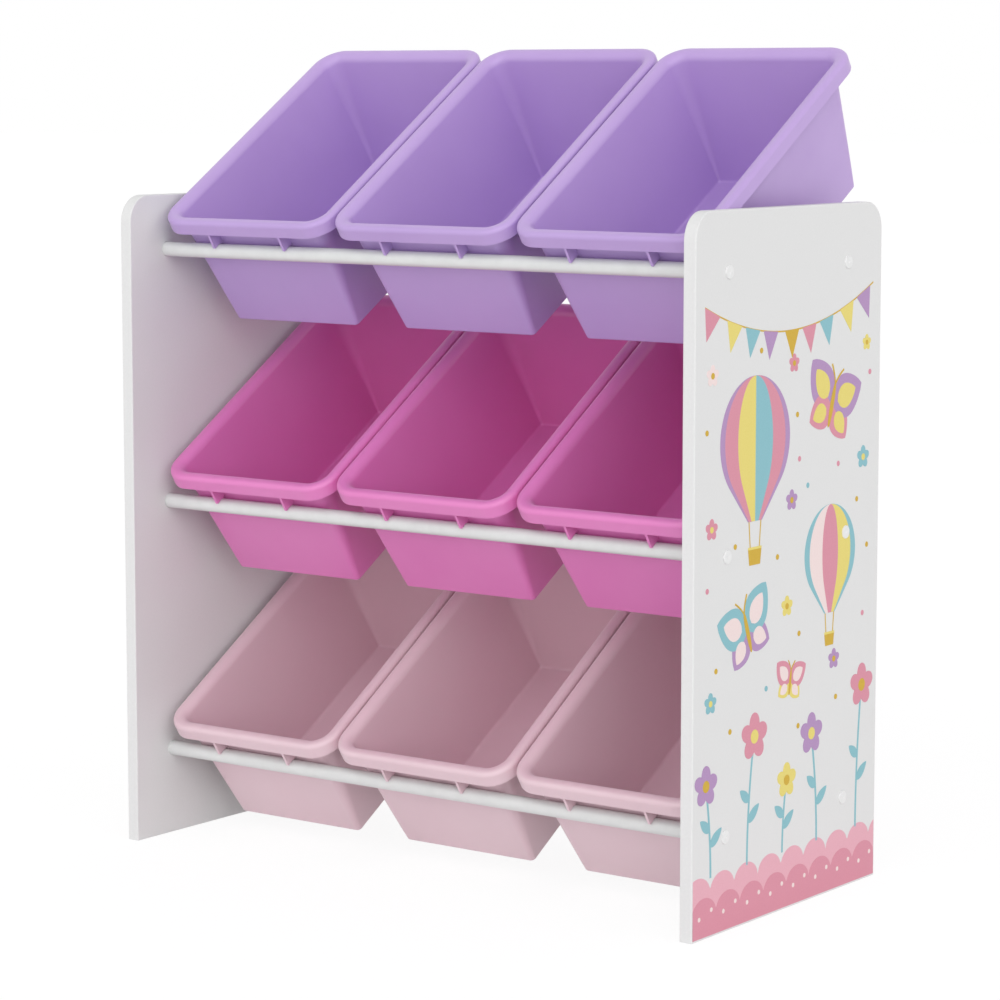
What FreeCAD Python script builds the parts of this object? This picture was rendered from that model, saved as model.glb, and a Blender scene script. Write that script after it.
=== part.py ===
import FreeCAD, Part
import math
import os

# A free-standing toy organizer for a child's room. Two board side panels are
# tied together by six tubes, a front and a back one for each row, and nine
# open bins hang on the tubes with their mouths tilted to the front.
# Millimetres. X runs to the right, Y to the back, Z up. The origin lies on the
# floor, under the middle of the overall box.

Vector = FreeCAD.Vector

# ---- side panels ----
PANEL_HEIGHT = 600.0
PANEL_DEPTH = 296.0
PANEL_THICKNESS = 12.0
OVERALL_WIDTH = 628.0        # outer face to outer face
PANEL_CORNER_RADIUS = 24.0   # the two top corners
BAND_THICKNESS = 1.5         # edge band along front, top and back
BAND_EDGE_RADIUS = 1.0

# ---- tubes and what fastens them ----
ROD_DIAMETER = 13.5
ROD_WALL = 1.0
FRONT_ROD_INSET = 49.5       # panel's front edge to the tube's axis
BACK_ROD_INSET = 57.0        # panel's back edge to the tube's axis
FIRST_ROW_HEIGHT = 80.5      # floor to the lowest tubes' axes
ROW_PITCH = 234.5
ROD_SOCKET_DEPTH = 4.0       # blind hole in the panel's inner face
ROD_SOCKET_CLEARANCE = 0.15
INSERT_LENGTH = 28.0         # threaded plug inside each tube end
INSERT_CLEARANCE = 0.05
SCREW_DIAMETER = 5.0
SCREW_LENGTH = 33.0
SCREW_HEAD_DIAMETER = 9.6
SCREW_HEAD_HEIGHT = 2.3
SCREW_HEAD_SINK = 0.3        # the head's top below the panel's face
SCREW_HOLE_CLEARANCE = 0.2
THREAD_CLEARANCE = 0.05
HEX_SOCKET_WIDTH = 3.2       # across flats
HEX_SOCKET_DEPTH = 2.0
CAP_DIAMETER = 11.6
CAP_THICKNESS = 1.3
CAP_EDGE_RADIUS = 0.6
CAP_DIMPLE_DIAMETER = 2.6
CAP_DIMPLE_DEPTH = 0.4
CAP_STEM_CLEARANCE = 0.12
CAP_STEM_LENGTH = 1.7        # reaches into the screw's hex socket

# ---- bins: x across, s along the mouth from front to back, h up from it ----
BIN_COLUMNS = ("left", "centre", "right")
BIN_ROWS = ("bottom", "middle", "top")
BIN_GAP = 3.0                # between two neighbours' rims
BIN_SIDE_GAP = 1.2           # right bin's rim to the right panel
BIN_LEFT_GAP = 8.8           # left bin's rim to the left panel
BIN_HEIGHT = 123.5           # at the front, outer floor to rim top
FLOOR_WIDTH = 144.2
FLOOR_LENGTH = 247.0
FLOOR_DROP = 4.5             # the floor is this much lower at its back
BIN_WALL = 1.8
BIN_FLOOR = 2.0
FLOOR_CORNER_RADIUS = 4.8    # upright corners at the floor
FLOOR_EDGE_RADIUS = 2.0
INNER_FLOOR_RADIUS = 2.5
RIM_WIDTH = 13.0             # inner wall face to outer lip face
RIM_FRONT = 19.4             # rim's front beyond the floor's front edge
RIM_BACK = 27.1              # rim's back beyond the floor's back edge
RIM_CORNER_RADIUS = 26.0
RIM_INNER_ROLL = 8.5
RIM_OUTER_ROLL = 4.2
LIP_HEIGHT = 13.6
LIP_WALL = 1.8
GUSSET_THICKNESS = 2.4
GUSSET_SPACING = 83.0
GUSSET_SEAT_DEPTH = 28.5     # rim's top to the seat on the front tube
GUSSET_NOSE = 2.3            # how far the nose reaches past the tube's axis
REST_RIB_DEPTH = 7.4         # floor's front edge level to the rib's foot
REST_RIB_LENGTH = 24.0
REST_RIB_TAPER = 8.0
SEAT_GAP = 0.3               # bin to tube

SAME_PLACE = 1e-3            # two edges closer than this count as level

# ---- worked out from the above ----
ROD_RADIUS = ROD_DIAMETER / 2
SEAT_RADIUS = ROD_RADIUS + SEAT_GAP
ROD_SPACING = PANEL_DEPTH - FRONT_ROD_INSET - BACK_ROD_INSET
INNER_FACE = OVERALL_WIDTH / 2 - PANEL_THICKNESS
FRONT_ROD_LEVEL = BIN_HEIGHT - GUSSET_SEAT_DEPTH - SEAT_RADIUS
BACK_ROD_LEVEL = -(REST_RIB_DEPTH + SEAT_RADIUS)
TILT = math.asin((FRONT_ROD_LEVEL - BACK_ROD_LEVEL) / ROD_SPACING)
FLOOR_SLOPE = math.atan(FLOOR_DROP / FLOOR_LENGTH)

# The bins share the room between the panels.
BIN_ROOM = 2 * INNER_FACE - BIN_SIDE_GAP - BIN_LEFT_GAP
BIN_PITCH = (BIN_ROOM + BIN_GAP) / len(BIN_COLUMNS)
RIM_OVERALL_WIDTH = BIN_PITCH - BIN_GAP

# Walls run straight from the floor to the rim, so each outline at a height
# lies on the line between these two.
WALL_OUTSET = RIM_WIDTH - BIN_WALL
TOP_HALF_WIDTH = RIM_OVERALL_WIDTH / 2 - WALL_OUTSET
TOP_FRONT = -(RIM_FRONT - WALL_OUTSET)
TOP_BACK = FLOOR_LENGTH + RIM_BACK - WALL_OUTSET
TOP_CORNER_RADIUS = RIM_CORNER_RADIUS - WALL_OUTSET
FRONT_WALL_LEAN = -TOP_FRONT / BIN_HEIGHT

# The front wall leans on the back of the front tube.
FRONT_ROD_PLACE = (-FRONT_WALL_LEAN * FRONT_ROD_LEVEL
                   - SEAT_RADIUS * math.hypot(1.0, FRONT_WALL_LEAN))
BACK_ROD_PLACE = FRONT_ROD_PLACE + ROD_SPACING * math.cos(TILT)


# ---------------------------------------------------------------- outlines

def rounded_outline(half_width, front, back, radius, level):
    """Closed wire of a rectangle with round corners, at height `level`."""
    x, r = half_width, radius
    k = r * (1 - math.sqrt(0.5))
    corners = (
        ((x, back - r), (x - k, back - k), (x - r, back)),
        ((-x + r, back), (-x + k, back - k), (-x, back - r)),
        ((-x, front + r), (-x + k, front + k), (-x + r, front)),
        ((x - r, front), (x - k, front + k), (x, front + r)),
    )
    edges = []
    last = corners[-1][2]
    for start, middle, end in corners:
        points = [Vector(px, py, level) for px, py in (last, start, middle, end)]
        edges.append(Part.makeLine(points[0], points[1]))
        edges.append(Part.Arc(points[1], points[2], points[3]).toShape())
        last = end
    return Part.Wire(edges)


def between(floor_value, rim_value, level):
    """A size of the bin's walls at a height, on the line from floor to rim."""
    return floor_value + (rim_value - floor_value) * level / BIN_HEIGHT


def wall_limits(level, inset):
    """Half width, front and back of the walls at a height, moved inwards."""
    return (between(FLOOR_WIDTH / 2, TOP_HALF_WIDTH, level) - inset,
            between(0.0, TOP_FRONT, level) + inset,
            between(FLOOR_LENGTH, TOP_BACK, level) - inset)


def round_upright(block, top, inset):
    """Round the upright edge that ends at `top`, more towards its top."""
    edge = next(e for e in block.Edges if e.BoundBox.ZLength > BIN_HEIGHT / 2
                and any(v.Point.isEqual(top, SAME_PLACE) for v in e.Vertexes))
    radii = [between(FLOOR_CORNER_RADIUS, TOP_CORNER_RADIUS, v.Z) - inset for v in edge.Vertexes]
    return block.makeFillet(radii[1], radii[0], [edge])


def tapered_block(low, high, inset):
    """Solid with flat leaning walls, from the sloping floor at `low` to `high`."""
    deep = low - 2 * FLOOR_DROP
    x0, front0, back0 = wall_limits(deep, inset)
    x1, front1, back1 = wall_limits(high, inset)
    block = Part.makeWedge(-x0, deep, -back0, -back1, -x1, x0, high, -front0, -front1, x1)
    block.rotate(Vector(0, 0, 0), Vector(1, 0, 0), 90)
    for x in (-x1, x1):
        for s in (front1, back1):
            block = round_upright(block, Vector(x, s, high), inset)
    below = Part.makeBox(2 * FLOOR_WIDTH, 2 * FLOOR_LENGTH, FLOOR_LENGTH,
                         Vector(-FLOOR_WIDTH, -FLOOR_LENGTH / 2, low - FLOOR_LENGTH))
    below.rotate(Vector(0, 0, low), Vector(1, 0, 0), -math.degrees(FLOOR_SLOPE))
    return block.cut(below)


def edges_at(shape, level):
    """Edges that lie flat at a height."""
    return [edge for edge in shape.Edges
            if abs(edge.BoundBox.ZMin - level) < SAME_PLACE
            and abs(edge.BoundBox.ZMax - level) < SAME_PLACE]


def mouth_edges(shape, level):
    """Flat edges at a height that lie on or inside the walls' top outline."""
    return [edge for edge in edges_at(shape, level)
            if max(-edge.BoundBox.XMin, edge.BoundBox.XMax) < TOP_HALF_WIDTH + SAME_PLACE
            and edge.BoundBox.YMin > TOP_FRONT - SAME_PLACE
            and edge.BoundBox.YMax < TOP_BACK + SAME_PLACE]


def floor_edges(shape):
    """Edges of the lowest face, which slopes a little."""
    return min(shape.Faces, key=lambda face: face.CenterOfMass.z).Edges


def extruded_profile(points, thickness, x):
    """Flat plate from points in the s-h plane, centred on x."""
    wire = Part.makePolygon([Vector(x - thickness / 2, s, h) for s, h in points + points[:1]])
    return Part.Face(wire).extrude(Vector(thickness, 0, 0))


# ---------------------------------------------------------------- the bin

def rolled_plate(inset):
    """Plate over the whole mouth, as high as the lip, moved inwards and down."""
    outline = rounded_outline(RIM_OVERALL_WIDTH / 2 - inset, -RIM_FRONT + inset,
                              FLOOR_LENGTH + RIM_BACK - inset,
                              RIM_CORNER_RADIUS - inset, BIN_HEIGHT - LIP_HEIGHT)
    plate = Part.Face(outline).extrude(Vector(0, 0, LIP_HEIGHT - inset))
    return plate.makeFillet(RIM_OUTER_ROLL - inset, edges_at(plate, BIN_HEIGHT - inset))


def inside_roll(place, roll, angles):
    """Points halfway through the skin of one of the front rim's two rolls."""
    radius = roll - LIP_WALL / 2
    return [(place + radius * math.cos(math.radians(a)),
             BIN_HEIGHT - roll + radius * math.sin(math.radians(a))) for a in angles]


def gusset(x):
    """Rib under the front rim that sits on the front tube.

    Its upper outline runs inside the rim's skin, from the wall to the lip, and
    its front edge drops from the lip to the foot, in front of the tube.
    """
    foot = FRONT_ROD_LEVEL + math.sqrt(SEAT_RADIUS ** 2 - GUSSET_NOSE ** 2)
    inner_place = -FRONT_WALL_LEAN * (BIN_HEIGHT - RIM_INNER_ROLL) + BIN_WALL - RIM_INNER_ROLL
    outer_place = -RIM_FRONT + RIM_OUTER_ROLL
    plate = extruded_profile(
        [(-FRONT_WALL_LEAN * foot + BIN_WALL / 2, foot)]
        + inside_roll(inner_place, RIM_INNER_ROLL, (0, 45, 90))
        + inside_roll(outer_place, RIM_OUTER_ROLL, (90, 135, 180))
        + [(-RIM_FRONT + LIP_WALL / 2, foot)], GUSSET_THICKNESS, x)
    tube = Part.makeCylinder(SEAT_RADIUS, 2 * GUSSET_THICKNESS,
                             Vector(x - GUSSET_THICKNESS, FRONT_ROD_PLACE, FRONT_ROD_LEVEL),
                             Vector(1, 0, 0))
    return plate.cut(tube)


def rest_rib(x):
    """Rib under the floor that sits on the back tube."""
    half = REST_RIB_LENGTH / 2
    inside = -(FLOOR_DROP * BACK_ROD_PLACE / FLOOR_LENGTH) + BIN_FLOOR / 2
    return extruded_profile([
        (BACK_ROD_PLACE - half, -REST_RIB_DEPTH),
        (BACK_ROD_PLACE + half, -REST_RIB_DEPTH),
        (BACK_ROD_PLACE + half + REST_RIB_TAPER, inside),
        (BACK_ROD_PLACE - half - REST_RIB_TAPER, inside)], GUSSET_THICKNESS, x)


def make_bin():
    """One bin in its own x-s-h frame."""
    body = tapered_block(0.0, BIN_HEIGHT, 0.0)
    body = body.makeFillet(FLOOR_EDGE_RADIUS, floor_edges(body))
    shell = body.fuse(rolled_plate(0.0).cut(rolled_plate(LIP_WALL))).removeSplitter()
    under = BIN_HEIGHT - LIP_WALL
    shell = shell.makeFillet(RIM_INNER_ROLL - BIN_WALL, mouth_edges(shell, under))
    cavity = tapered_block(BIN_FLOOR, BIN_HEIGHT + RIM_WIDTH, BIN_WALL)
    cavity = cavity.makeFillet(INNER_FLOOR_RADIUS, floor_edges(cavity))
    shell = shell.cut(cavity)
    shell = shell.makeFillet(RIM_INNER_ROLL, mouth_edges(shell, BIN_HEIGHT))
    for side in (-1, 1):
        x = side * GUSSET_SPACING / 2
        shell = shell.fuse(gusset(x)).fuse(rest_rib(x))
    return shell.Solids[0]


def hung_on_rods(shape, x, rod_y, rod_z):
    """Copy of the bin, tilted and set on the tubes of one row."""
    placed = shape.copy()
    placed.translate(Vector(0, -FRONT_ROD_PLACE, -FRONT_ROD_LEVEL))
    placed.rotate(Vector(0, 0, 0), Vector(1, 0, 0), math.degrees(TILT))
    placed.translate(Vector(x, rod_y, rod_z))
    return placed


# ---------------------------------------------------------------- the frame

def panel_outline(inset):
    """Side view of a panel, moved inwards by `inset` but not at the floor."""
    front, back = -PANEL_DEPTH / 2 + inset, PANEL_DEPTH / 2 - inset
    top = PANEL_HEIGHT - inset
    r = PANEL_CORNER_RADIUS - inset
    k = r * (1 - math.sqrt(0.5))

    def at(y, z):
        return Vector(0, y, z)

    return Part.Wire([
        Part.makeLine(at(front, 0), at(front, top - r)),
        Part.Arc(at(front, top - r), at(front + k, top - k), at(front + r, top)).toShape(),
        Part.makeLine(at(front + r, top), at(back - r, top)),
        Part.Arc(at(back - r, top), at(back - k, top - k), at(back, top - r)).toShape(),
        Part.makeLine(at(back, top - r), at(back, 0)),
        Part.makeLine(at(back, 0), at(front, 0))])


def panel_slab(inset):
    """A panel's slab with its outer face at x = 0 and its body towards -x."""
    return Part.Face(panel_outline(inset)).extrude(Vector(-PANEL_THICKNESS, 0, 0))


def on_both_faces(edge):
    """True for an outline edge of the slab that isn't at the floor."""
    box = edge.BoundBox
    return box.XMax - box.XMin < SAME_PLACE and box.ZMax > SAME_PLACE


def edge_band():
    """The band that wraps a panel's front, top and back edges."""
    slab = panel_slab(0.0)
    slab = slab.makeFillet(BAND_EDGE_RADIUS, [e for e in slab.Edges if on_both_faces(e)])
    return slab.cut(panel_slab(BAND_THICKNESS))


def panel_board(rod_places):
    """The board, drilled for the tubes' screws, outer face at x = 0."""
    board = panel_slab(BAND_THICKNESS)
    inner = -PANEL_THICKNESS
    hole = SCREW_DIAMETER / 2 + SCREW_HOLE_CLEARANCE
    head = SCREW_HEAD_DIAMETER / 2 + SCREW_HOLE_CLEARANCE
    for y, z in rod_places:
        through = Part.makeCylinder(hole, PANEL_THICKNESS, Vector(inner, y, z), Vector(1, 0, 0))
        counterbore = Part.makeCylinder(head, SCREW_HEAD_SINK, Vector(-SCREW_HEAD_SINK, y, z),
                                        Vector(1, 0, 0))
        countersink = Part.makeCone(hole, head, SCREW_HEAD_HEIGHT,
                                    Vector(-SCREW_HEAD_SINK - SCREW_HEAD_HEIGHT, y, z),
                                    Vector(1, 0, 0))
        socket = Part.makeCylinder(ROD_RADIUS + ROD_SOCKET_CLEARANCE, ROD_SOCKET_DEPTH,
                                   Vector(inner, y, z), Vector(1, 0, 0))
        board = board.cut(Part.makeCompound([through, counterbore, countersink, socket]))
    return board


def assembly_screw():
    """Countersunk screw along -x, its panel's outer face at x = 0."""
    top = -SCREW_HEAD_SINK
    head = Part.makeCone(SCREW_DIAMETER / 2, SCREW_HEAD_DIAMETER / 2, SCREW_HEAD_HEIGHT,
                         Vector(top - SCREW_HEAD_HEIGHT, 0, 0), Vector(1, 0, 0))
    shank = Part.makeCylinder(SCREW_DIAMETER / 2, SCREW_LENGTH - SCREW_HEAD_HEIGHT,
                              Vector(top - SCREW_LENGTH, 0, 0), Vector(1, 0, 0))
    corner = HEX_SOCKET_WIDTH / math.sqrt(3)
    hexagon = [Vector(top, corner * math.cos(math.radians(angle)),
                      corner * math.sin(math.radians(angle))) for angle in range(0, 361, 60)]
    socket = Part.Face(Part.makePolygon(hexagon)).extrude(Vector(-HEX_SOCKET_DEPTH, 0, 0))
    return head.fuse(shank).cut(socket)


def screw_cap():
    """Push-in cap that lies on the panel's outer face at x = 0."""
    disc = Part.makeCylinder(CAP_DIAMETER / 2, CAP_THICKNESS, Vector(0, 0, 0), Vector(1, 0, 0))
    rim = [e for e in disc.Edges
           if abs(e.BoundBox.XMin - CAP_THICKNESS) < SAME_PLACE and len(e.Vertexes) == 1]
    disc = disc.makeFillet(CAP_EDGE_RADIUS, rim)
    dimple = Part.makeCone(CAP_DIMPLE_DIAMETER / 4, CAP_DIMPLE_DIAMETER / 2, CAP_DIMPLE_DEPTH,
                           Vector(CAP_THICKNESS - CAP_DIMPLE_DEPTH, 0, 0), Vector(1, 0, 0))
    stem = Part.makeCylinder(HEX_SOCKET_WIDTH / 2 - CAP_STEM_CLEARANCE, CAP_STEM_LENGTH,
                             Vector(-CAP_STEM_LENGTH, 0, 0), Vector(1, 0, 0))
    return disc.cut(dimple).fuse(stem)


def rod_tube():
    """Tube along x, centred, its ends in the panels' sockets."""
    length = 2 * (INNER_FACE + ROD_SOCKET_DEPTH)
    start = Vector(-length / 2, 0, 0)
    outer = Part.makeCylinder(ROD_RADIUS, length, start, Vector(1, 0, 0))
    return outer.cut(Part.makeCylinder(ROD_RADIUS - ROD_WALL, length, start, Vector(1, 0, 0)))


def rod_end_insert():
    """Threaded plug in a tube's right end, its panel's outer face at x = 0."""
    end = -(PANEL_THICKNESS - ROD_SOCKET_DEPTH)
    start = Vector(end - INSERT_LENGTH, 0, 0)
    plug = Part.makeCylinder(ROD_RADIUS - ROD_WALL - INSERT_CLEARANCE, INSERT_LENGTH,
                             start, Vector(1, 0, 0))
    bore = Part.makeCylinder(SCREW_DIAMETER / 2 + THREAD_CLEARANCE, INSERT_LENGTH,
                             start, Vector(1, 0, 0))
    return plug.cut(bore)


# ---------------------------------------------------------------- assembly

def on_side(shape, side, y=0.0, z=0.0):
    """Copy of a right-hand piece at (y, z), mirrored for the left side."""
    placed = shape.copy()
    placed.translate(Vector(OVERALL_WIDTH / 2, y, z))
    if side < 0:
        placed = placed.mirror(Vector(0, 0, 0), Vector(1, 0, 0))
    return placed


def build():
    """All nodes by name, the panels' middle at y = 0."""
    front_y = -PANEL_DEPTH / 2 + FRONT_ROD_INSET
    back_y = PANEL_DEPTH / 2 - BACK_ROD_INSET
    heights = [FIRST_ROW_HEIGHT + row * ROW_PITCH for row in range(len(BIN_ROWS))]
    rod_places = [(y, z) for z in heights for y in (front_y, back_y)]
    nodes = {}

    board = panel_board(rod_places)
    band = edge_band()
    for side, word in ((-1, "left"), (1, "right")):
        nodes[word + "_side_panel"] = on_side(board, side)
        nodes[word + "_edge_band"] = on_side(band, side)

    for row, z in zip(BIN_ROWS, heights):
        for word, y in (("front", front_y), ("back", back_y)):
            tube = rod_tube()
            tube.translate(Vector(0, y, z))
            nodes["%s_rod_%s" % (word, row)] = tube

    for name, piece in (("rod_end_inserts", rod_end_insert()),
                        ("assembly_screws", assembly_screw()),
                        ("screw_caps", screw_cap())):
        copies = [on_side(piece, side, y, z) for side in (-1, 1) for y, z in rod_places]
        nodes[name] = Part.makeCompound(copies)

    one_bin = make_bin()
    right_x = INNER_FACE - BIN_SIDE_GAP - RIM_OVERALL_WIDTH / 2
    for row, z in zip(BIN_ROWS, heights):
        for place, column in enumerate(BIN_COLUMNS):
            x = right_x - (len(BIN_COLUMNS) - 1 - place) * BIN_PITCH
            nodes["bin_%s_%s" % (row, column)] = hung_on_rods(one_bin, x, front_y, z)
    return nodes


def middle_of_box(nodes):
    """How far the overall box's middle lies behind the panels' middle."""
    rear = nodes["bin_top_left"].optimalBoundingBox(False, False).YMax
    return (rear - PANEL_DEPTH / 2) / 2


def main():
    os.makedirs("parts", exist_ok=True)
    nodes = build()
    middle = middle_of_box(nodes)
    for name, shape in nodes.items():
        shape.translate(Vector(0, -middle, 0))
        assert shape.isValid(), name
        shape.exportStep("parts/%s.step" % name)
    print("tilt %.4f degrees" % math.degrees(TILT))
    print("middle of the box behind the panels' middle %.4f" % middle)


main()
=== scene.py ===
import math

import bmesh
import bpy
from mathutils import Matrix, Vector


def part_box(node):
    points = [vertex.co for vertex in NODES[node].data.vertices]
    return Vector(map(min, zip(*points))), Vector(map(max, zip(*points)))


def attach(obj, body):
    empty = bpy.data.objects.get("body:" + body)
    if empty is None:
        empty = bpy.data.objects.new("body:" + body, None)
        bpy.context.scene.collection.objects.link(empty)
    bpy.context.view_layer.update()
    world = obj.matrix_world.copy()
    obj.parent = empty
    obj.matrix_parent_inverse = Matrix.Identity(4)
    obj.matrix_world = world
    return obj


# Looks of the toy organizer: materials, the print on the side panels, floor,
# light and camera, around the CAD model. Metres, apart from the print.

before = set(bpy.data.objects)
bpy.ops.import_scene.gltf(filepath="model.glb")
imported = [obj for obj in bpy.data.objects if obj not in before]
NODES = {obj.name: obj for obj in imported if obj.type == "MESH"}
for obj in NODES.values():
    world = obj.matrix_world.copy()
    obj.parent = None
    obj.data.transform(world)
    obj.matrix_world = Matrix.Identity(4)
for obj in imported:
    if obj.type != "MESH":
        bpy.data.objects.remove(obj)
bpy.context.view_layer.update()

MM = 0.001
ROWS = ("bottom", "middle", "top")
COLUMNS = ("left", "centre", "right")

# ---- colours: each surface drifts between two close sRGB colours ----
COLOURS = {
    "board": ("E1E1E1", "E3E3E3"),
    "band": ("E2E2E2", "E5E5E5"),
    "coat": ("DEE0DF", "E3E5E4"),
    "plug": ("D6D6D4", "DCDCDA"),
    "cap": ("E6E6E6", "ECECEC"),
    "zinc": ("B4B8BC", "C6C8CA"),
    "lavender": ("B899D6", "BD9FDA"),
    "magenta": ("E279BF", "E580C3"),
    "pale_pink": ("E3C4CE", "E6C9D2"),
    "ink_pink": ("D88FA1", "DB94A6"),
    "ink_rose": ("E5ABB9", "E8B0BE"),
    "ink_purple": ("B28FBC", "B694C0"),
    "ink_teal": ("88BCC6", "8DC0CA"),
    "ink_gold": ("CFAA38", "D2AE3E"),
    "ink_yellow": ("E5D475", "E8D87C"),
    "ink_pale": ("F0DBDA", "F2E0DE"),
}
INK_NAMES = ("pink", "rose", "purple", "teal", "gold", "yellow", "pale")
BIN_PLASTICS = {"top": "lavender", "middle": "magenta", "bottom": "pale_pink"}

# ---- print: millimetres on a panel's outer face, with u from its front edge
# to its back edge and v from the floor up ----
PANEL_LOW, PANEL_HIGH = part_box("right_edge_band")
FRONT_Y = PANEL_LOW[1]       # metres
OUTER_X = PANEL_HIGH[0]      # metres
PANEL_DEPTH = (PANEL_HIGH[1] - PANEL_LOW[1]) / MM
FILM = 0.1                   # thickness of one layer
STEP, STEPS = 0.008, 12      # neighbours in a layer differ by this, so none are level
MARGIN = 1.6                 # unprinted edge
LOWEST, LOW, HIGH, HIGHEST = 1, 2, 3, 4     # layers

# Bands along the floor: ink, layer, level of the scallops' feet, phase.
SCALLOP_BANDS = (("rose", LOWEST, 38, 9.0), ("pink", LOW, 20, 0.0))
SCALLOP_RADIUS = 18.4
SCALLOP_RISE = 0.8           # height of a scallop to its radius
SCALLOP_STEPS = 220

# Pearls on the bands, at two levels by turns.
PEARLS = 16
PEARL_START = 11
PEARL_LEVEL = 18
PEARL_RISE = 5
PEARL_RADIUS = 2.0

# Flowers: foot's u, head's v, lean, blossom's radius, petals' and heart's ink.
FLOWERS = (
    (28, 128, -8, 17, "purple", "gold"),
    (84, 158, 10, 20, "pink", "yellow"),
    (140, 112, 6, 15, "yellow", "gold"),
    (196, 146, -10, 18, "purple", "yellow"),
    (262, 176, 8, 19, "pink", "gold"),
)
STEM_FOOT = 50
STEM_WIDTH = 2.6
STEM_STEPS = 12
LEAVES = ((4, 1, 22), (6, -1, 18))          # step on the stem, side, length
LEAF_WIDTH = 9
LEAF_ANGLE = 0.9             # radians off upright

# Blossoms between the larger motifs: place, radius, petals' and heart's ink.
BLOSSOMS = (
    ((26, 466), 9, "pale", "gold"),
    ((152, 468), 8, "pink", "gold"),
    ((268, 378), 10, "teal", "yellow"),
    ((150, 352), 9, "purple", "gold"),
    ((26, 340), 9, "pink", "yellow"),
    ((144, 262), 9, "yellow", "gold"),
    ((26, 196), 9, "teal", "yellow"),
    ((222, 206), 9, "purple", "gold"),
    ((272, 478), 7, "yellow", "gold"),
)
PETALS = 5
FIRST_PETAL = 0.3            # its direction, in radians
PETAL_REACH = 0.56           # a petal's centre off the blossom's, of the radius
PETAL_HALF_LENGTH = 0.46     # of the radius
PETAL_HALF_WIDTH = 0.38
HEART_RADIUS = 0.3
PETAL_SIDES, HEART_SIDES = 20, 18

# Dots: u, v, ink.
DOTS = (
    (18, 420, "gold"), (158, 424, "gold"), (162, 386, "pink"), (258, 342, "gold"),
    (176, 362, "teal"), (20, 290, "pink"), (128, 306, "gold"), (164, 236, "gold"),
    (34, 222, "gold"), (270, 240, "pink"), (112, 196, "teal"), (56, 168, "gold"),
    (226, 172, "gold"), (226, 376, "pink"), (62, 322, "gold"), (276, 300, "gold"),
    (100, 482, "gold"), (278, 452, "pink"), (164, 156, "gold"),
)
DOT_RADIUS = 2.4
DOT_SIDES = 14

# Balloons: centre, radius, inks of the gores. Their parts are shares of the
# radius, apart from the widths of the ropes and the brim.
BALLOONS = (
    ((92, 408), 54, ("purple", "pink", "yellow", "teal", "pink", "purple")),
    ((214, 300), 42, ("teal", "pale", "pink", "yellow", "teal")),
)
DOME_ARC = 133               # degrees from the crown to where the sides run straight
DOME_STEPS = 30
MOUTH_HALF_WIDTH = 0.2
MOUTH_DROP = 1.25            # below the centre
ROPE_TOP = 0.17              # off the middle, at the mouth
ROPE_FOOT = 0.13             # off the middle, at the basket
ROPE_LENGTH = 0.42
ROPE_WIDTH = 1.1
BASKET_HALF_WIDTH = 0.19
BASKET_HEIGHT = 0.26
BASKET_TAPER = 0.8           # width of its bottom to its top
BRIM_WIDTH = 2.0

# Butterflies: place, size, turn, inks of the upper wings, the lower wings and
# the wings' middles. Their parts are shares of the size.
BUTTERFLIES = (
    ((214, 428), 84, -0.3, "purple", "pink", "yellow"),
    ((82, 248), 78, 0.35, "teal", "purple", "pale"),
    ((150, 196), 46, -0.15, "pink", "yellow", "pale"),
)
LOWER_WING = (-0.66, 0.44, 0.36)            # angle, length, width
UPPER_WING = (0.62, 0.6, 0.46)
WING_ROOT = 0.02             # off the body's middle
MIDDLE_START = 0.1           # from the wing's root
MIDDLE_LENGTH = 0.62         # of the wing's length
MIDDLE_WIDTH = 0.55          # of the wing's width
BODY_HALF_WIDTH = 0.035
BODY_HALF_LENGTH = 0.24
BODY_SIDES = 20
FEELER_START = 0.2           # above the butterfly's place
FEELER_LENGTH = 0.2
FEELER_SPREAD = 0.12
FEELER_WIDTH = 0.018
FEELER_CURL = 1.5            # power of the curve
FEELER_STEPS = 6

# Petal shape of leaves and wings. The powers put its widest place nearer the
# root and fill its sides.
DROP_SKEW, DROP_FILL = 0.8, 0.75
DROP_STEPS = 14

# Bunting between the panel's edges.
BUNTING_INSET = 14
BUNTING_FRONT, BUNTING_BACK = 522, 530      # levels of its ends
BUNTING_SAG = 30
BUNTING_INKS = ("pink", "yellow", "teal", "purple", "gold", "pink", "teal", "yellow", "purple")
STRING_WIDTH = 1.3
STRING_STEPS = 48
FLAG_HALF_STEPS = 2          # half a flag's width, in steps of the string
FLAG_DROP = 1.05             # its height to its width

# ---- floor and light ----
FLOOR_REACH = 30.0           # half its width
FLOOR_GAP = 0.2 * MM         # the floor is this much below the panels' feet
FLOOR_WHITENESS = 0.93       # share of the light that it returns
WHITE = 1.0                  # strength that shows as white
GLOW = 1.05                  # the floor's glow, a little past white
GLOW_SHARE = 0.86            # the glow's share where the floor is seen
WORLD_LIGHT = 0.64
LAMP_DISTANCE = 3.0
# Lamps: name, direction towards it, strength, spread in degrees.
LAMPS = (
    ("front", (-0.1, -1.0, 0.25), 0.68, 70),
    ("side", (1.0, -0.25, 0.3), 0.8, 70),
    ("quarter", (0.6, -0.9, 0.3), 0.56, 60),
)

# ---- camera ----
CAMERA_PLACE = (1.74674, -2.34955, 0.70370)
CAMERA_HEADING = 36.6186     # degrees, from the part's front to its right
CAMERA_PITCH = 6.4521        # degrees below level
FOCAL_PIXELS = 3261.1        # focal length in pixels of the frame
FRAME_PIXELS = 1000.0        # the frame's width
SENSOR_WIDTH = 36.0          # mm
LENS_SHIFT = -0.05           # of the frame's height
VIEW_END = 100.0


# ---------------------------------------------------------------- materials

# A noise's factor stays mostly between these two.
NOISE_LOW, NOISE_HIGH = 0.3, 0.7
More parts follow.
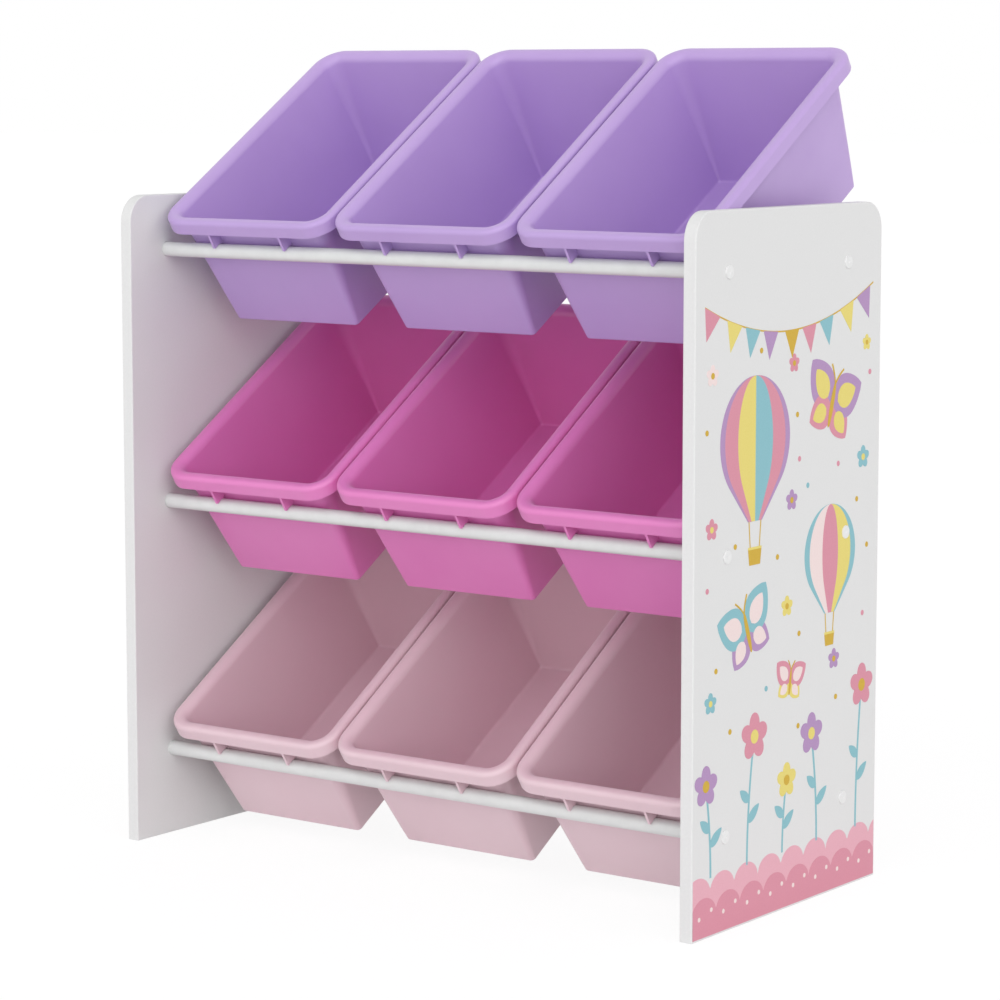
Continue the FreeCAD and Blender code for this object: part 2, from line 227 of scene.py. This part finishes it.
# Sockets of a Mix node for colours.
MIX_FACTOR, MIX_FIRST, MIX_SECOND, MIX_RESULT = 0, 6, 7, 2


def linear(code):
    """Linear colour, with alpha, of an sRGB code such as "C0A6D8"."""
    channels = [int(code[i:i + 2], 16) / 255 for i in (0, 2, 4)]
    return [c / 12.92 if c <= 0.04045 else ((c + 0.055) / 1.055) ** 2.4 for c in channels] + [1.0]


class Material:
    """A node material around one Principled shader, with a few helpers."""

    def __init__(self, name, roughness, specular, metallic=0.0):
        self.name = name
        self.data = bpy.data.materials.new(name)
        self.data.use_nodes = True
        self.nodes = self.data.node_tree.nodes
        self.links = self.data.node_tree.links
        self.shader = self.nodes["Principled BSDF"]
        self.shader.inputs["Roughness"].default_value = roughness
        self.shader.inputs["Specular IOR Level"].default_value = specular
        self.shader.inputs["Metallic"].default_value = metallic
        self.place = self.nodes.new("ShaderNodeTexCoord").outputs["Object"]

    def noise(self, scale, detail=2.0, stretch=None):
        """Noise factor, with `scale` features to the metre."""
        node = self.nodes.new("ShaderNodeTexNoise")
        node.inputs["Scale"].default_value = scale
        node.inputs["Detail"].default_value = detail
        place = self.place
        if stretch:
            mapping = self.nodes.new("ShaderNodeMapping")
            mapping.inputs["Scale"].default_value = stretch
            self.links.new(self.place, mapping.inputs["Vector"])
            place = mapping.outputs["Vector"]
        self.links.new(place, node.inputs["Vector"])
        return node.outputs["Fac"]

    def between(self, factor, low, high):
        """The factor's usual values spread over a range of numbers."""
        node = self.nodes.new("ShaderNodeMapRange")
        node.inputs["From Min"].default_value = NOISE_LOW
        node.inputs["From Max"].default_value = NOISE_HIGH
        node.inputs["To Min"].default_value = low
        node.inputs["To Max"].default_value = high
        self.links.new(factor, node.inputs["Value"])
        return node.outputs["Result"]

    def mottle(self, factor):
        """Base colour that drifts between the material's two colours."""
        first, second = COLOURS[self.name]
        node = self.nodes.new("ShaderNodeMix")
        node.data_type = "RGBA"
        node.inputs[MIX_FIRST].default_value = linear(first)
        node.inputs[MIX_SECOND].default_value = linear(second)
        self.links.new(self.between(factor, 0.0, 1.0), node.inputs[MIX_FACTOR])
        self.links.new(node.outputs[MIX_RESULT], self.shader.inputs["Base Color"])

    def vary_roughness(self, factor, low, high):
        self.links.new(self.between(factor, low, high), self.shader.inputs["Roughness"])

    def bump(self, factor, depth, strength):
        """Surface relief of a depth in metres, on top of any made before."""
        node = self.nodes.new("ShaderNodeBump")
        node.inputs["Strength"].default_value = strength
        node.inputs["Distance"].default_value = depth
        self.links.new(factor, node.inputs["Height"])
        normal = self.shader.inputs["Normal"]
        if normal.is_linked:
            self.links.new(normal.links[0].from_socket, node.inputs["Normal"])
        self.links.new(node.outputs["Normal"], normal)


def moulded_plastic(name):
    """Satin moulded plastic with a fine grain and faint flow clouding."""
    m = Material(name, roughness=0.42, specular=0.9)
    m.shader.inputs["Sheen Weight"].default_value = 0.15
    m.shader.inputs["Sheen Roughness"].default_value = 0.4
    m.mottle(m.noise(scale=9.0, detail=3.0))
    m.vary_roughness(m.noise(scale=60.0), low=0.38, high=0.46)
    m.bump(m.noise(scale=1400.0, detail=1.0), depth=0.03 * MM, strength=0.35)
    m.bump(m.noise(scale=22.0, detail=1.0), depth=0.4 * MM, strength=0.12)
    return m.data


def paper_grain(m):
    """Grain that a pressed paper laminate shows through its print as well."""
    m.bump(m.noise(scale=900.0, detail=3.0, stretch=(1.0, 1.0, 0.3)), depth=0.03 * MM, strength=0.3)


def laminate(name):
    """White board laminate: nearly even, with a pressed paper grain."""
    m = Material(name, roughness=0.5, specular=0.35)
    m.mottle(m.noise(scale=500.0, detail=3.0))
    m.vary_roughness(m.noise(scale=130.0), low=0.46, high=0.54)
    paper_grain(m)
    return m.data


def ink(name):
    """Printed ink on the laminate, with a faint dot grain."""
    m = Material(name, roughness=0.5, specular=0.3)
    m.mottle(m.noise(scale=700.0, detail=1.0))
    paper_grain(m)
    return m.data


def powder_coat(name):
    """White coat on the tubes, with its slight orange peel."""
    m = Material(name, roughness=0.36, specular=0.45)
    m.mottle(m.noise(scale=70.0))
    m.vary_roughness(m.noise(scale=200.0), low=0.32, high=0.4)
    m.bump(m.noise(scale=650.0), depth=0.04 * MM, strength=0.3)
    return m.data


def small_plastic(name):
    """Small moulded pieces: caps and plugs."""
    m = Material(name, roughness=0.4, specular=0.45)
    m.mottle(m.noise(scale=300.0))
    m.bump(m.noise(scale=2500.0, detail=1.0), depth=0.02 * MM, strength=0.3)
    return m.data


def plated_steel(name):
    """Zinc-plated steel with turning marks round the screw's axis."""
    m = Material(name, roughness=0.34, specular=0.5, metallic=1.0)
    m.mottle(m.noise(scale=500.0))
    m.vary_roughness(m.noise(scale=900.0), low=0.28, high=0.42)
    m.bump(m.noise(scale=3000.0, detail=1.0, stretch=(6.0, 1.0, 1.0)), depth=0.02 * MM, strength=0.4)
    return m.data


def dress(node, material):
    """Give a CAD node its material."""
    data = NODES[node].data
    data.materials.clear()
    data.materials.append(material)


def dress_nodes():
    """Every CAD node in its material."""
    board, band = laminate("board"), laminate("band")
    for side in ("left", "right"):
        dress(side + "_side_panel", board)
        dress(side + "_edge_band", band)
    coat = powder_coat("coat")
    for row in ROWS:
        dress("front_rod_" + row, coat)
        dress("back_rod_" + row, coat)
        plastic = moulded_plastic(BIN_PLASTICS[row])
        for column in COLUMNS:
            dress("bin_%s_%s" % (row, column), plastic)
    dress("rod_end_inserts", small_plastic("plug"))
    dress("screw_caps", small_plastic("cap"))
    dress("assembly_screws", plated_steel("zinc"))


dress_nodes()


# ---------------------------------------------------------------- the print

shapes = []                  # (ink, height above the board, points of a closed outline)


def draw(colour, layer, points):
    """Add a shape to the print, in one ink and layer."""
    shapes.append((colour, layer * FILM + len(shapes) % STEPS * STEP, points))


def placed(points, place, turn):
    """Points turned about their origin and moved to a place."""
    c, s = math.cos(turn), math.sin(turn)
    return [(place[0] + x * c - y * s, place[1] + x * s + y * c) for x, y in points]


def ellipse(place, half_x, half_y, turn, sides):
    ring = []
    for i in range(sides):
        a = 2 * math.pi * i / sides
        ring.append((half_x * math.cos(a), half_y * math.sin(a)))
    return placed(ring, place, turn)


def disc(place, radius, sides):
    return ellipse(place, radius, radius, 0.0, sides)


def drop(root, length, width, turn):
    """Leaf or wing that starts at its root and points along `turn`."""
    half = []
    for i in range(DROP_STEPS + 1):
        t = i / DROP_STEPS
        half.append((length * t, width / 2 * math.sin(math.pi * t ** DROP_SKEW) ** DROP_FILL))
    return placed(half + [(x, -y) for x, y in reversed(half[1:-1])], root, turn)


def ribbon(path, width):
    """Closed strip of a width along a list of points."""
    left, right = [], []
    for i, (u, v) in enumerate(path):
        a, b = path[max(i - 1, 0)], path[min(i + 1, len(path) - 1)]
        du, dv = b[0] - a[0], b[1] - a[1]
        size = math.hypot(du, dv)
        nu, nv = -dv / size * width / 2, du / size * width / 2
        left.append((u + nu, v + nv))
        right.append((u - nu, v - nv))
    return left + right[::-1]


def scallops(colour, layer, level, phase):
    """Band along the floor with a scalloped upper edge."""
    low, high = MARGIN, PANEL_DEPTH - MARGIN
    edge = []
    for i in range(SCALLOP_STEPS + 1):
        u = low + (high - low) * i / SCALLOP_STEPS
        part = ((u + phase) % (2 * SCALLOP_RADIUS)) / SCALLOP_RADIUS - 1
        edge.append((u, level + SCALLOP_RADIUS * SCALLOP_RISE * math.sqrt(1 - part * part)))
    draw(colour, layer, [(low, MARGIN)] + edge + [(high, MARGIN)])


def pearl(number):
    """One of the row of dots on the scalloped bands."""
    place = (PEARL_START + SCALLOP_RADIUS * number, PEARL_LEVEL + PEARL_RISE * (number % 2))
    draw("pale", HIGH, disc(place, PEARL_RADIUS, DOT_SIDES))


def blossom(place, radius, colour, heart, layer=LOW):
    """Round petals about a heart."""
    for i in range(PETALS):
        a = FIRST_PETAL + 2 * math.pi * i / PETALS
        petal = (place[0] + radius * PETAL_REACH * math.cos(a),
                 place[1] + radius * PETAL_REACH * math.sin(a))
        draw(colour, layer, ellipse(petal, radius * PETAL_HALF_LENGTH, radius * PETAL_HALF_WIDTH,
                                    a, PETAL_SIDES))
    draw(heart, layer + 1, disc(place, radius * HEART_RADIUS, HEART_SIDES))


def flower(foot, head, lean, radius, colour, heart):
    """A blossom on a bent stem with two leaves."""
    stem = []
    for i in range(STEM_STEPS + 1):
        t = i / STEM_STEPS
        stem.append((foot + lean * t ** 2, STEM_FOOT + (head - STEM_FOOT) * t))
    draw("teal", LOWEST, ribbon(stem, STEM_WIDTH))
    for step, side, length in LEAVES:
        draw("teal", LOW, drop(stem[step], length, LEAF_WIDTH, math.pi / 2 - side * LEAF_ANGLE))
    blossom(stem[-1], radius, colour, heart, HIGH)


def balloon(centre, radius, inks):
    """Hot-air balloon with striped gores, ropes and a basket."""
    u, v = centre
    # Half widths and heights from the crown down: an arc, then a straight
    # side that ends at the mouth.
    outline = []
    for i in range(DOME_STEPS + 1):
        a = math.radians(90 - DOME_ARC * i / DOME_STEPS)
        outline.append((radius * math.cos(a), radius * math.sin(a)))
    outline.append((radius * MOUTH_HALF_WIDTH, -radius * MOUTH_DROP))
    # A seam is the outline narrowed as on a round balloon.
    seams = []
    for i in range(len(inks) + 1):
        share = math.sin(math.pi * (i / len(inks) - 0.5))
        seams.append([(u + share * width, v + height) for width, height in outline])
    for colour, left, right in zip(inks, seams, seams[1:]):
        draw(colour, LOW, left + right[:0:-1])

    mouth = v - radius * MOUTH_DROP
    brim = mouth - radius * ROPE_LENGTH
    for side in (-1, 1):
        rope = [(u + side * radius * ROPE_TOP, mouth), (u + side * radius * ROPE_FOOT, brim)]
        draw("gold", LOW, ribbon(rope, ROPE_WIDTH))
    half = radius * BASKET_HALF_WIDTH
    base = half * BASKET_TAPER
    bottom = brim - radius * BASKET_HEIGHT
    draw("gold", HIGH, [(u - half, brim), (u + half, brim), (u + base, bottom), (u - base, bottom)])
    draw("yellow", HIGHEST, ribbon([(u - half, brim), (u + half, brim)], BRIM_WIDTH))


def butterfly(place, size, turn, upper, lower, middle):
    """Two pairs of wings, each with a lighter middle, a slim body and feelers."""
    for side in (-1, 1):
        root = placed([(side * size * WING_ROOT, 0.0)], place, turn)[0]
        for (angle, length, width), colour in ((LOWER_WING, lower), (UPPER_WING, upper)):
            way = turn + (angle if side > 0 else math.pi - angle)
            draw(colour, LOW, drop(root, size * length, size * width, way))
            start = placed([(size * MIDDLE_START, 0.0)], root, way)[0]
            draw(middle, HIGH, drop(start, size * length * MIDDLE_LENGTH, size * width * MIDDLE_WIDTH, way))
    body = ellipse(place, size * BODY_HALF_WIDTH, size * BODY_HALF_LENGTH, turn, BODY_SIDES)
    draw("gold", HIGHEST, body)
    for side in (-1, 1):
        feeler = []
        for i in range(FEELER_STEPS + 1):
            t = i / FEELER_STEPS
            feeler.append((side * size * FEELER_SPREAD * t ** FEELER_CURL,
                           size * (FEELER_START + FEELER_LENGTH * t)))
        draw("gold", HIGHEST, ribbon(placed(feeler, place, turn), size * FEELER_WIDTH))


def bunting(start, end, sag, inks):
    """Flags on a string that hangs in a parabola, `sag` deep at its middle."""
    string = []
    for i in range(STRING_STEPS + 1):
        t = i / STRING_STEPS
        string.append((start[0] + (end[0] - start[0]) * t,
                       start[1] + (end[1] - start[1]) * t - 4 * sag * t * (1 - t)))
    draw("gold", LOWEST, ribbon(string, STRING_WIDTH))
    for k, colour in enumerate(inks):
        i = int((k + 0.5) * STRING_STEPS / len(inks))
        (u0, v0), (u1, v1) = string[i - FLAG_HALF_STEPS], string[i + FLAG_HALF_STEPS]
        tip = ((u0 + u1) / 2 + (v1 - v0) * FLAG_DROP, (v0 + v1) / 2 - (u1 - u0) * FLAG_DROP)
        draw(colour, LOW, [(u0, v0), (u1, v1), tip])


def draw_print():
    """A garden with balloons: the panels' whole picture."""
    for band in SCALLOP_BANDS:
        scallops(*band)
    for number in range(PEARLS):
        pearl(number)
    for values in FLOWERS:
        flower(*values)
    for values in BALLOONS:
        balloon(*values)
    for values in BUTTERFLIES:
        butterfly(*values)
    bunting((BUNTING_INSET, BUNTING_FRONT), (PANEL_DEPTH - BUNTING_INSET, BUNTING_BACK),
            BUNTING_SAG, BUNTING_INKS)
    for values in BLOSSOMS:
        blossom(*values)
    for u, v, colour in DOTS:
        draw(colour, LOW, disc((u, v), DOT_RADIUS, DOT_SIDES))


def add_film(bm, sign, height, points):
    """Closed solid of one shape, from just off the board up to its height."""
    rings = []
    for off in (STEP, height):
        x = sign * (OUTER_X + off * MM)
        rings.append([bm.verts.new((x, FRONT_Y + u * MM, v * MM)) for u, v in points])
    for ring in rings:
        bm.faces.new(ring)
    for i in range(len(points)):
        j = (i + 1) % len(points)
        bm.faces.new((rings[0][i], rings[0][j], rings[1][j], rings[1][i]))


def add_print(side, sign, inks):
    """One piece for each ink, on a panel's outer face."""
    for colour, material in inks.items():
        bm = bmesh.new()
        for name, height, points in shapes:
            if name == colour:
                add_film(bm, sign, height, points)
        bmesh.ops.recalc_face_normals(bm, faces=bm.faces)
        outlines = [f for f in bm.faces if len(f.verts) > 4]
        bmesh.ops.triangulate(bm, faces=outlines)
        name = "print_%s_%s" % (side, colour)
        data = bpy.data.meshes.new(name)
        bm.to_mesh(data)
        bm.free()
        data.materials.append(material)
        piece = bpy.data.objects.new(name, data)
        bpy.context.scene.collection.objects.link(piece)
        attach(piece, "frame")


draw_print()
INKS = {name: ink("ink_" + name) for name in INK_NAMES}
add_print("right", 1, INKS)
add_print("left", -1, INKS)


# ---------------------------------------------------------------- stage

def backdrop_rays(tree):
    """1 on rays that show the backdrop: direct, off gloss or through glass."""
    path = tree.nodes.new("ShaderNodeLightPath")
    seen = path.outputs["Is Camera Ray"]
    for kind in ("Is Glossy Ray", "Is Transmission Ray"):
        either = tree.nodes.new("ShaderNodeMath")
        either.operation = "MAXIMUM"
        tree.links.new(seen, either.inputs[0])
        tree.links.new(path.outputs[kind], either.inputs[1])
        seen = either.outputs[0]
    return seen


def mix_to_output(tree, factor, first, second, kind):
    """Mix two shaders and lead them to an output node of a kind."""
    mix = tree.nodes.new("ShaderNodeMixShader")
    out = tree.nodes.new(kind)
    tree.links.new(factor, mix.inputs[0])
    tree.links.new(first.outputs[0], mix.inputs[1])
    tree.links.new(second.outputs[0], mix.inputs[2])
    tree.links.new(mix.outputs[0], out.inputs["Surface"])


def floor_material():
    """Pale floor that shows nearly white but keeps the object's shadow."""
    material = bpy.data.materials.new("floor")
    material.use_nodes = True
    tree = material.node_tree
    tree.nodes.clear()
    diffuse = tree.nodes.new("ShaderNodeBsdfDiffuse")
    diffuse.inputs["Color"].default_value = [FLOOR_WHITENESS] * 3 + [1]
    glow = tree.nodes.new("ShaderNodeEmission")
    glow.inputs["Strength"].default_value = GLOW
    share = tree.nodes.new("ShaderNodeMath")
    share.operation = "MULTIPLY"
    share.inputs[1].default_value = GLOW_SHARE
    tree.links.new(backdrop_rays(tree), share.inputs[0])
    mix_to_output(tree, share.outputs[0], diffuse, glow, "ShaderNodeOutputMaterial")
    return material


def add_floor():
    """Square floor just under the panels' feet."""
    r = FLOOR_REACH
    data = bpy.data.meshes.new("floor")
    data.from_pydata([(-r, -r, 0), (r, -r, 0), (r, r, 0), (-r, r, 0)], [], [(0, 1, 2, 3)])
    data.materials.append(floor_material())
    floor = bpy.data.objects.new("floor", data)
    floor.location.z = -FLOOR_GAP
    bpy.context.scene.collection.objects.link(floor)


def even_light(tree, strength):
    node = tree.nodes.new("ShaderNodeBackground")
    node.inputs["Color"].default_value = (1, 1, 1, 1)
    node.inputs["Strength"].default_value = strength
    return node


def add_world():
    """Even light, and white where the camera looks past the floor."""
    world = bpy.data.worlds.new("studio")
    bpy.context.scene.world = world
    world.use_nodes = True
    tree = world.node_tree
    tree.nodes.clear()
    mix_to_output(tree, backdrop_rays(tree), even_light(tree, WORLD_LIGHT), even_light(tree, WHITE),
                  "ShaderNodeOutputWorld")


def add_lamp(name, toward, strength, spread):
    """Soft distant lamp; `toward` points from the object to the lamp."""
    data = bpy.data.lights.new(name, "SUN")
    data.energy = strength
    data.angle = math.radians(spread)
    lamp = bpy.data.objects.new(name, data)
    lamp.rotation_euler = Vector(toward).to_track_quat("Z", "Y").to_euler()
    lamp.location = Vector(toward) * LAMP_DISTANCE
    bpy.context.scene.collection.objects.link(lamp)


def add_camera():
    """Camera at the photograph's viewing angle."""
    data = bpy.data.cameras.new("camera")
    data.sensor_width = SENSOR_WIDTH
    data.lens = FOCAL_PIXELS * SENSOR_WIDTH / FRAME_PIXELS
    data.shift_y = LENS_SHIFT
    data.clip_end = VIEW_END
    camera = bpy.data.objects.new("camera", data)
    camera.location = CAMERA_PLACE
    camera.rotation_euler = (math.radians(90 - CAMERA_PITCH), 0, math.radians(CAMERA_HEADING))
    bpy.context.scene.collection.objects.link(camera)
    return camera


add_floor()
add_world()
for values in LAMPS:
    add_lamp(*values)
bpy.context.scene.camera = add_camera()
bpy.context.scene.view_settings.view_transform = "Standard"
